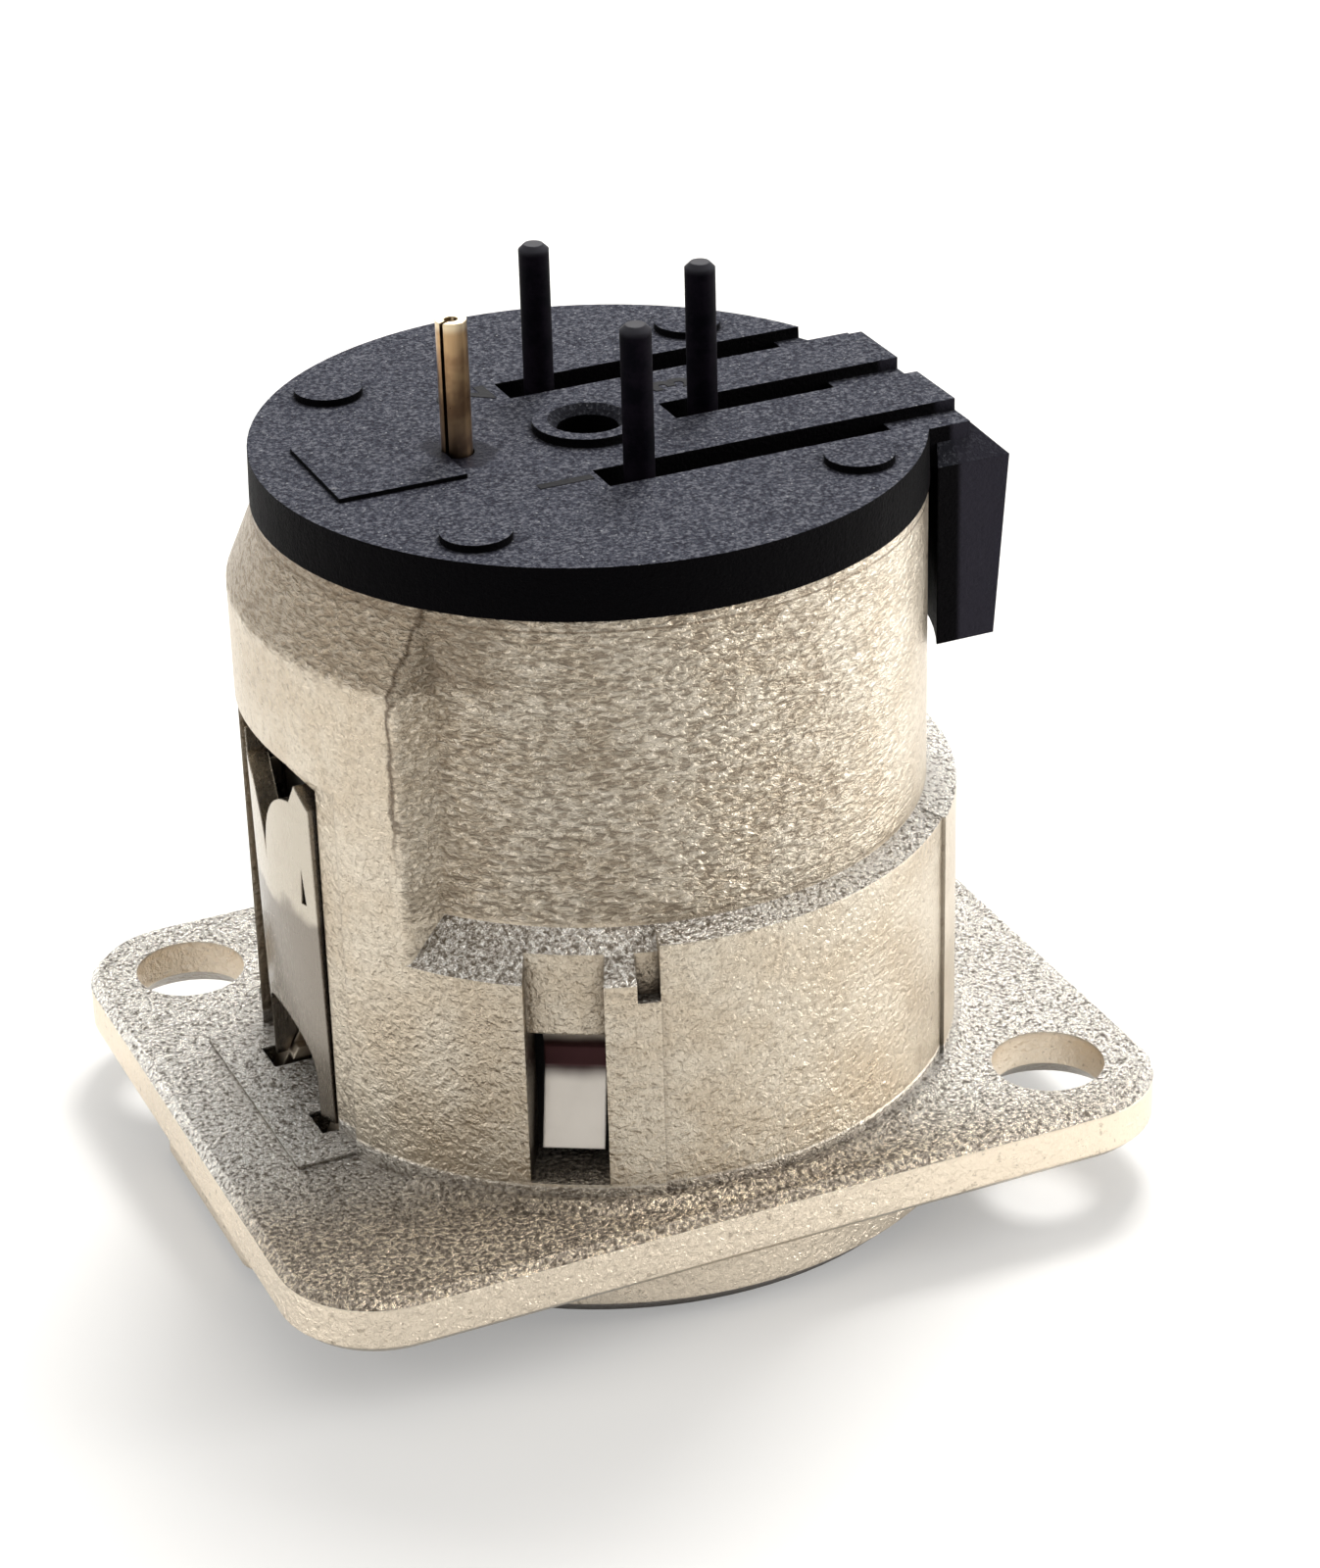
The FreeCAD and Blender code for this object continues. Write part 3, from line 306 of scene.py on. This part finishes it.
def button_casting():
    """The release button: the same plate on a smoother casting, worn bright where the thumb presses."""
    plate = Finish("button_casting_satin", Metallic=1.0)
    cloud = plate.noise(scale=0.5, detail=3.0)
    pores = plate.noise(scale=7.0, detail=3.0, roughness=0.6)
    worn = plate.rise(plate.facing_z, -0.6, -0.9)
    # Painted shade: brown darkening in crevices, from ambient occlusion.
    crevice_painted_shade = plate.rise(plate.crevices(0.8), 0.9, 0.35)
    satin = plate.mix(plate.rise(cloud, 0.35, 0.68), SATIN_WARM, SATIN_PALE)
    colour = plate.layered(satin, (crevice_painted_shade, 0.75, PAINTED_SHADE_BROWN))
    normal = plate.relief(plate.rounded(0.12), (pores, 0.012))
    return plate.show(Base_Color=colour, Roughness=0.36 - worn * 0.12 + cloud * 0.06, Normal=normal)


def grey_black_moulding():
    """The rear cover: matte speckled top, near-black rim, satin side block, and flux round the ground pin."""
    moulding = Finish("grey_black_moulding_matte", Metallic=0.0, Specular_IOR_Level=0.025)
    upward = moulding.rise(moulding.facing_z, 0.6, 0.9)
    block_sides = moulding.rise(moulding.x, BLOCK_OUT, BLOCK_OUT + 0.25) * (1.0 - upward)
    grain = moulding.noise(scale=7.5, detail=4.0, roughness=0.7)
    fine = moulding.noise(scale=19.0, detail=2.0)
    broad = moulding.noise(scale=0.3, detail=2.0)
    dust = moulding.rise(moulding.noise(scale=4.4, detail=5.0, roughness=0.75), 0.60, 0.70)
    crumbs = moulding.rise(moulding.cells(scale=2.3), 0.10, 0.05)
    scuff_place = moulding.joined(moulding.x * 0.5, moulding.y * 4.0, moulding.z * 2.0)
    scuffs = moulding.rise(moulding.noise(scale=1.0, detail=3.0, at=scuff_place), 0.62, 0.72)
    from_pin = moulding.length(moulding.joined((moulding.x + GROUND_PIN_OUT) * 0.8, moulding.y * 0.62, 0.0))
    ragged = (moulding.noise(scale=1.3, detail=2.0) - 0.5) * 0.9
    flux = moulding.rise(from_pin + ragged, 0.95, 0.75) * upward
    colour = moulding.layered(
        moulding.mix(upward * (0.62 + broad * 0.3), tone(0.0012, 0.001, 0.0016), tone(0.070, 0.074, 0.098)),
        (upward * moulding.rise(grain, 0.5, 0.62), 0.75, tone(0.185, 0.19, 0.215)),
        (upward * moulding.rise(grain, 0.48, 0.39), 0.75, tone(0.014, 0.014, 0.02)),
        (upward * dust, 0.7, tone(0.30, 0.305, 0.315)),
        (upward * crumbs, 0.8, tone(0.42, 0.43, 0.44)),
        (block_sides, 0.8, tone(0.034, 0.032, 0.045)),
        (flux, 0.75, tone(0.004, 0.004, 0.012)))
    # Painted shade: near-black in crevices and corners, from ambient occlusion.
    clear_of_painted_shade = moulding.rise(moulding.crevices(0.8), 0.3, 0.9)
    colour = moulding.mix(clear_of_painted_shade, tone(0.004, 0.004, 0.005), colour)
    matte = 0.46 + upward * 0.22 + grain * 0.1 + scuffs * 0.06 - flux * 0.42
    normal = moulding.relief(moulding.rounded(0.10), (broad, 0.05), (grain, 0.08), (fine, 0.012))
    return moulding.show(Base_Color=colour, Roughness=matte, Normal=normal)


def black_moulding():
    """The contact carrier: black moulding with a faint spark-eroded grain."""
    moulding = Finish("black_moulding_matte", Metallic=0.0)
    grain = moulding.noise(scale=9.0, detail=4.0, roughness=0.7)
    flow = moulding.noise(scale=0.25, detail=2.0)
    colour = moulding.layered(
        moulding.mix(moulding.rise(flow, 0.3, 0.7), tone(0.012, 0.012, 0.013), tone(0.024, 0.024, 0.027)),
        (moulding.rise(grain, 0.58, 0.7), 0.5, tone(0.05, 0.05, 0.054)))
    normal = moulding.relief(moulding.rounded(0.1), (grain, 0.02))
    return moulding.show(Base_Color=colour, Roughness=0.46 + grain * 0.2, Normal=normal)


def contact_plating():
    """The turned contacts: dark plating with turning marks, a painted highlight on the rounded tip, and
    bright sleeves.
    """
    plating = Finish("contact_plating_dark", Metallic=0.1, Specular_IOR_Level=0.04)
    turning_place = plating.joined(plating.x * 0.6, plating.y * 0.6, plating.z * 14.0)
    turned = plating.noise(scale=1.0, detail=3.0, at=turning_place)
    blotch = plating.noise(scale=1.4, detail=3.0, roughness=0.65)
    # Painted highlight: the rounded tip lighter and glossier.
    tip = plating.rise(plating.z, TAIL_TIP, TAIL_TIP + 0.3)
    sleeve = plating.rise(plating.z, SLEEVE_TOP + 0.5, SLEEVE_TOP - 0.5)
    colour = plating.layered(
        plating.mix(plating.rise(blotch, 0.35, 0.65),
                    tone(0.0016, 0.0014, 0.0034), tone(0.006, 0.0042, 0.008)),
        (tip, 0.6, tone(0.06, 0.06, 0.07)),
        (sleeve, 0.8, tone(0.42, 0.40, 0.36)))
    normal = plating.relief(plating.rounded(0.08), (turned, 0.012))
    return plating.show(Base_Color=colour, Roughness=0.52 + blotch * 0.12 - tip * 0.18, Normal=normal)


def gold_plating():
    """The rolled ground pin: gold plate, duller and browner near the cover, with a painted highlight at its
    tip and painted shade in its seam.
    """
    gold = Finish("gold_plating_bright", Metallic=1.0)
    drawn = gold.noise(scale=1.0, detail=3.0, at=gold.joined(gold.x * 9.0, gold.y * 9.0, gold.z * 0.5))
    stain = gold.noise(scale=0.9, detail=3.0, roughness=0.6)
    # Painted highlight: the tip lighter.
    tip = gold.rise(gold.z, GROUND_PIN_TIP, GROUND_PIN_TIP + 0.3)
    near_cover = gold.rise(gold.z, COVER_TOP + 1.68, COVER_TOP + 0.28)
    # Painted shade in the seam's gap, from ambient occlusion.
    seam = gold.rise(gold.crevices(0.35), 0.75, 0.3)
    colour = gold.layered(
        gold.mix(gold.rise(stain, 0.35, 0.65), tone(0.34, 0.20, 0.105), tone(0.55, 0.36, 0.19)),
        (tip, 0.7, tone(0.93, 0.80, 0.55)),
        (near_cover, 0.5, tone(0.30, 0.20, 0.14)),
        (seam, 0.85, tone(0.05, 0.03, 0.02)))
    normal = gold.relief(gold.rounded(0.05), (drawn, 0.012))
    return gold.show(Base_Color=colour, Roughness=0.22 + stain * 0.16, Normal=normal)


def rolled_strip(name, shade, rough, painted_shade=None, metal=1.0, tarnish_and_shade=1.0):
    """Bright strip with faint rolling lines, some tarnish, and painted brown shade where it lies close to
    other surfaces.

    Painted shade gives a dark colour painted over a band, the lowest and highest place that it covers, and
    how soft and how uneven its ends are.
    """
    strip = Finish(name, Metallic=metal)
    lines = strip.noise(scale=1.0, detail=3.0, at=strip.joined(strip.x * 8.0, strip.y * 8.0, strip.z * 0.35))
    waves = strip.noise(scale=0.35, detail=2.0)
    tarnish = strip.noise(scale=0.8, detail=4.0, roughness=0.65)
    # Painted brown shade where the strip lies close to other surfaces, from ambient occlusion.
    painted_edge_shade = strip.rise(strip.crevices(0.4), 0.9, 0.45)
    colour = strip.mix(strip.rise(tarnish, 0.45, 0.75) * 0.35 * tarnish_and_shade, shade, tone(0.46, 0.40, 0.33))
    # Painted shade: a dark band of colour over the given heights.
    if painted_shade:
        painted_shade_colour, bottom, top, soft, wander = painted_shade
        height = strip.z + (strip.noise(scale=0.7, detail=2.0) - 0.5) * wander
        colour = strip.mix(strip.between(height, bottom, top, soft), colour, painted_shade_colour)
    colour = strip.layered(colour, (painted_edge_shade, 0.7 * tarnish_and_shade, tone(0.20, 0.13, 0.08)))
    normal = strip.relief(strip.rounded(0.08), (waves, 0.05), (lines, 0.003))
    return strip.show(Base_Color=colour, Roughness=rough + lines * 0.08 + tarnish * 0.06, Normal=normal)


def numeral_moulding():
    """The raised numerals: the cover's moulding, polished a little darker."""
    moulding = Finish("numeral_moulding", Metallic=0.0, Specular_IOR_Level=0.05)
    grain = moulding.noise(scale=9.0, detail=3.0)
    colour = moulding.mix(moulding.rise(grain, 0.4, 0.7),
                          tone(0.0025, 0.0025, 0.004), tone(0.010, 0.010, 0.014))
    normal = moulding.relief(moulding.rounded(0.04), (grain, 0.01))
    return moulding.show(Base_Color=colour, Roughness=0.42 + grain * 0.12, Normal=normal)


def dress(nodes, material):
    for node in nodes:
        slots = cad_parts[node].data.materials
        slots.clear()
        slots.append(material)


def set_down(piece):
    """Puts the piece's place into its mesh, so that its object sits at the origin."""
    bpy.ops.object.select_all(action="DESELECT")
    piece.select_set(True)
    bpy.context.view_layer.objects.active = piece
    bpy.ops.object.transform_apply(location=True, rotation=True, scale=True)


def numeral(sign, x, y, height, material):
    """A raised numeral on the cover, its top towards the latch side."""
    stand_up, edge, boldness = 0.03, 0.02, 0.05
    bpy.ops.object.select_all(action="DESELECT")
    place = (x * MM, y * MM, (COVER_TOP - stand_up) * MM)
    bpy.ops.object.text_add(location=place, rotation=(0, 0, math.pi / 2))
    piece = bpy.context.object
    piece.data.body = sign
    piece.data.align_x = "CENTER"
    piece.data.align_y = "CENTER"
    piece.data.size = height * MM
    piece.data.extrude = stand_up * MM
    piece.data.bevel_depth = edge * MM
    piece.data.bevel_resolution = 1
    piece.data.offset = boldness * MM
    bpy.ops.object.convert(target="MESH")
    piece = bpy.context.object
    piece.name = "numeral_" + sign
    set_down(piece)
    piece.data.materials.clear()
    piece.data.materials.append(material)
    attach(piece, "housing")


def studio_floor():
    """A pale floor that keeps the shadow near the socket and is plain white further out."""
    bpy.ops.object.select_all(action="DESELECT")
    bpy.ops.mesh.primitive_plane_add(size=3.0, location=(0, 0, 0))
    floor = bpy.context.object
    floor.name = "studio_floor"
    finish = Finish("studio_floor_white", Base_Color=tone(0.93, 0.925, 0.91), Roughness=1.0,
                    Specular_IOR_Level=0.1)
    white = finish.node("ShaderNodeEmission", sockets={"Color": tone(1.0, 1.0, 0.995), "Strength": 1.0})
    lit = Wire(finish, finish.shader.outputs["BSDF"])
    plain = 0.3 + finish.rise(finish.length(finish.place), 90.0, 260.0) * 0.7
    mixed = finish.node("ShaderNodeMixShader", sockets={0: finish.seen_plainly() * plain, 1: lit, 2: white})
    finish.feed(finish.tree.nodes["Material Output"].inputs["Surface"], mixed)
    floor.data.materials.append(finish.material)


def studio_room():
    """A room that is white to the camera and lights the socket softly, most from the window's side."""
    world = bpy.data.worlds.new("studio_room")
    bpy.context.scene.world = world
    world.use_nodes = True
    room = Nodes(world.node_tree)
    room.tree.nodes.clear()
    across, along, up = room.parts(room.node("ShaderNodeTexCoord", output="Generated"))
    toward_window = room.rise(across * 0.42 + along * 0.55 + up * 0.62, -0.35, 0.75)
    plain = room.node("ShaderNodeBackground", sockets={"Color": tone(1.0, 1.0, 1.0), "Strength": 1.0})
    soft = room.node("ShaderNodeBackground", sockets={"Color": tone(1.0, 0.985, 0.96),
                                                      "Strength": 0.16 + toward_window * 0.5})
    rays = room.node("ShaderNodeLightPath", output=None)
    looked_at = rays["Is Camera Ray"] + rays["Is Transmission Ray"]
    both = room.node("ShaderNodeMixShader", sockets={0: looked_at, 1: soft, 2: plain})
    room.node("ShaderNodeOutputWorld", sockets={"Surface": both}, output=None)


def softbox(name, place, aim, width, height, power, colour):
    data = bpy.data.lights.new(name, "AREA")
    data.shape = "RECTANGLE"
    data.size = width
    data.size_y = height
    data.energy = power
    data.color = colour
    lamp = bpy.data.objects.new(name, data)
    lamp.location = place
    lamp.rotation_euler = (Vector(aim) - Vector(place)).to_track_quat("-Z", "Y").to_euler()
    bpy.context.scene.collection.objects.link(lamp)


def camera():
    """The photograph's view: its turn, height, roll and distance, matched to the flange and the barrel."""
    turn, lift, roll = math.radians(-23.5864), math.radians(27.5804), math.radians(-1.5758)
    target = Vector((1.8324, -0.7883, 12.9243)) * MM
    distance = 135.889
    back = Vector((math.sin(turn) * math.cos(lift), -math.cos(turn) * math.cos(lift), math.sin(lift)))
    side = Vector((0, 0, 1)).cross(back).normalized()
    up = back.cross(side)
    right = side * math.cos(roll) + up * math.sin(roll)
    top = up * math.cos(roll) - side * math.sin(roll)
    data = bpy.data.cameras.new("camera")
    data.lens = 93.07
    data.sensor_width = 36.0
    data.clip_start = 0.005
    data.clip_end = 20.0
    holder = bpy.data.objects.new("camera", data)
    turned = Matrix((right, top, back)).transposed().to_4x4()
    holder.matrix_world = Matrix.Translation(target + back * distance * MM) @ turned
    bpy.context.scene.collection.objects.link(holder)
    bpy.context.scene.camera = holder


dress(["shell"], plated_casting())
dress(["push_button"], button_casting())
dress(["rear_cover"], grey_black_moulding())
dress(["contact_carrier"], black_moulding())
dress(["contact_1", "contact_2", "contact_3"], contact_plating())
dress(["ground_pin"], gold_plating())
# The ground spring gets a band of painted shade where it bends inward.
spring_painted_shade = (tone(0.045, 0.015, 0.017), SPRING_PAINTED_SHADE_BOTTOM, SPRING_PAINTED_SHADE_TOP, 0.3, 0.2)
dress(["ground_spring"], rolled_strip("ground_strip_bright", tone(0.96, 0.90, 0.82), rough=0.26,
                                      painted_shade=spring_painted_shade, metal=0.8, tarnish_and_shade=0.15))
# The latch's lower part gets painted shade, greyer and darker.
latch_painted_shade = (tone(0.28, 0.25, 0.215), FLANGE_REAR - 2.0, LATCH_PAINTED_SHADE_TOP, 0.3, 1.6)
dress(["latch"], rolled_strip("latch_sheet_polished", tone(0.56, 0.51, 0.43), rough=0.2, painted_shade=latch_painted_shade))
dress(["latch_spring"], rolled_strip("spring_strip_satin", tone(0.56, 0.54, 0.50), rough=0.3))

raised = numeral_moulding()
for sign, x, y, height in (("1", -2.3, -3.8, 2.5), ("2", -2.5, 4.2, 2.5), ("3", 3.9, 2.05, 1.9)):
    numeral(sign, x, y, height, raised)

studio_floor()
studio_room()
softbox("overhead", (0.153, 0.174, 0.386), (0, 0, 0.01), 0.13, 0.13, 1.45, CEILING_LIGHT)
softbox("window_behind", (0.20, 0.42, 0.26), (0, 0, 0.012), 0.42, 0.26, 1.0, WINDOW_LIGHT)
softbox("right_side", (0.36, -0.10, 0.10), (0, 0, 0.012), 0.16, 0.20, 0.85, WARM_LIGHT)
softbox("left_side", (-0.34, 0.06, 0.14), (0, 0, 0.012), 0.14, 0.22, 0.35, WARM_LIGHT)
softbox("beside_camera", (-0.177, -0.253, 0.170), (-0.004, -0.008, 0.006), 0.12, 0.12, 0.045, WARM_LIGHT)
camera()
bpy.context.scene.view_settings.view_transform = "Standard"
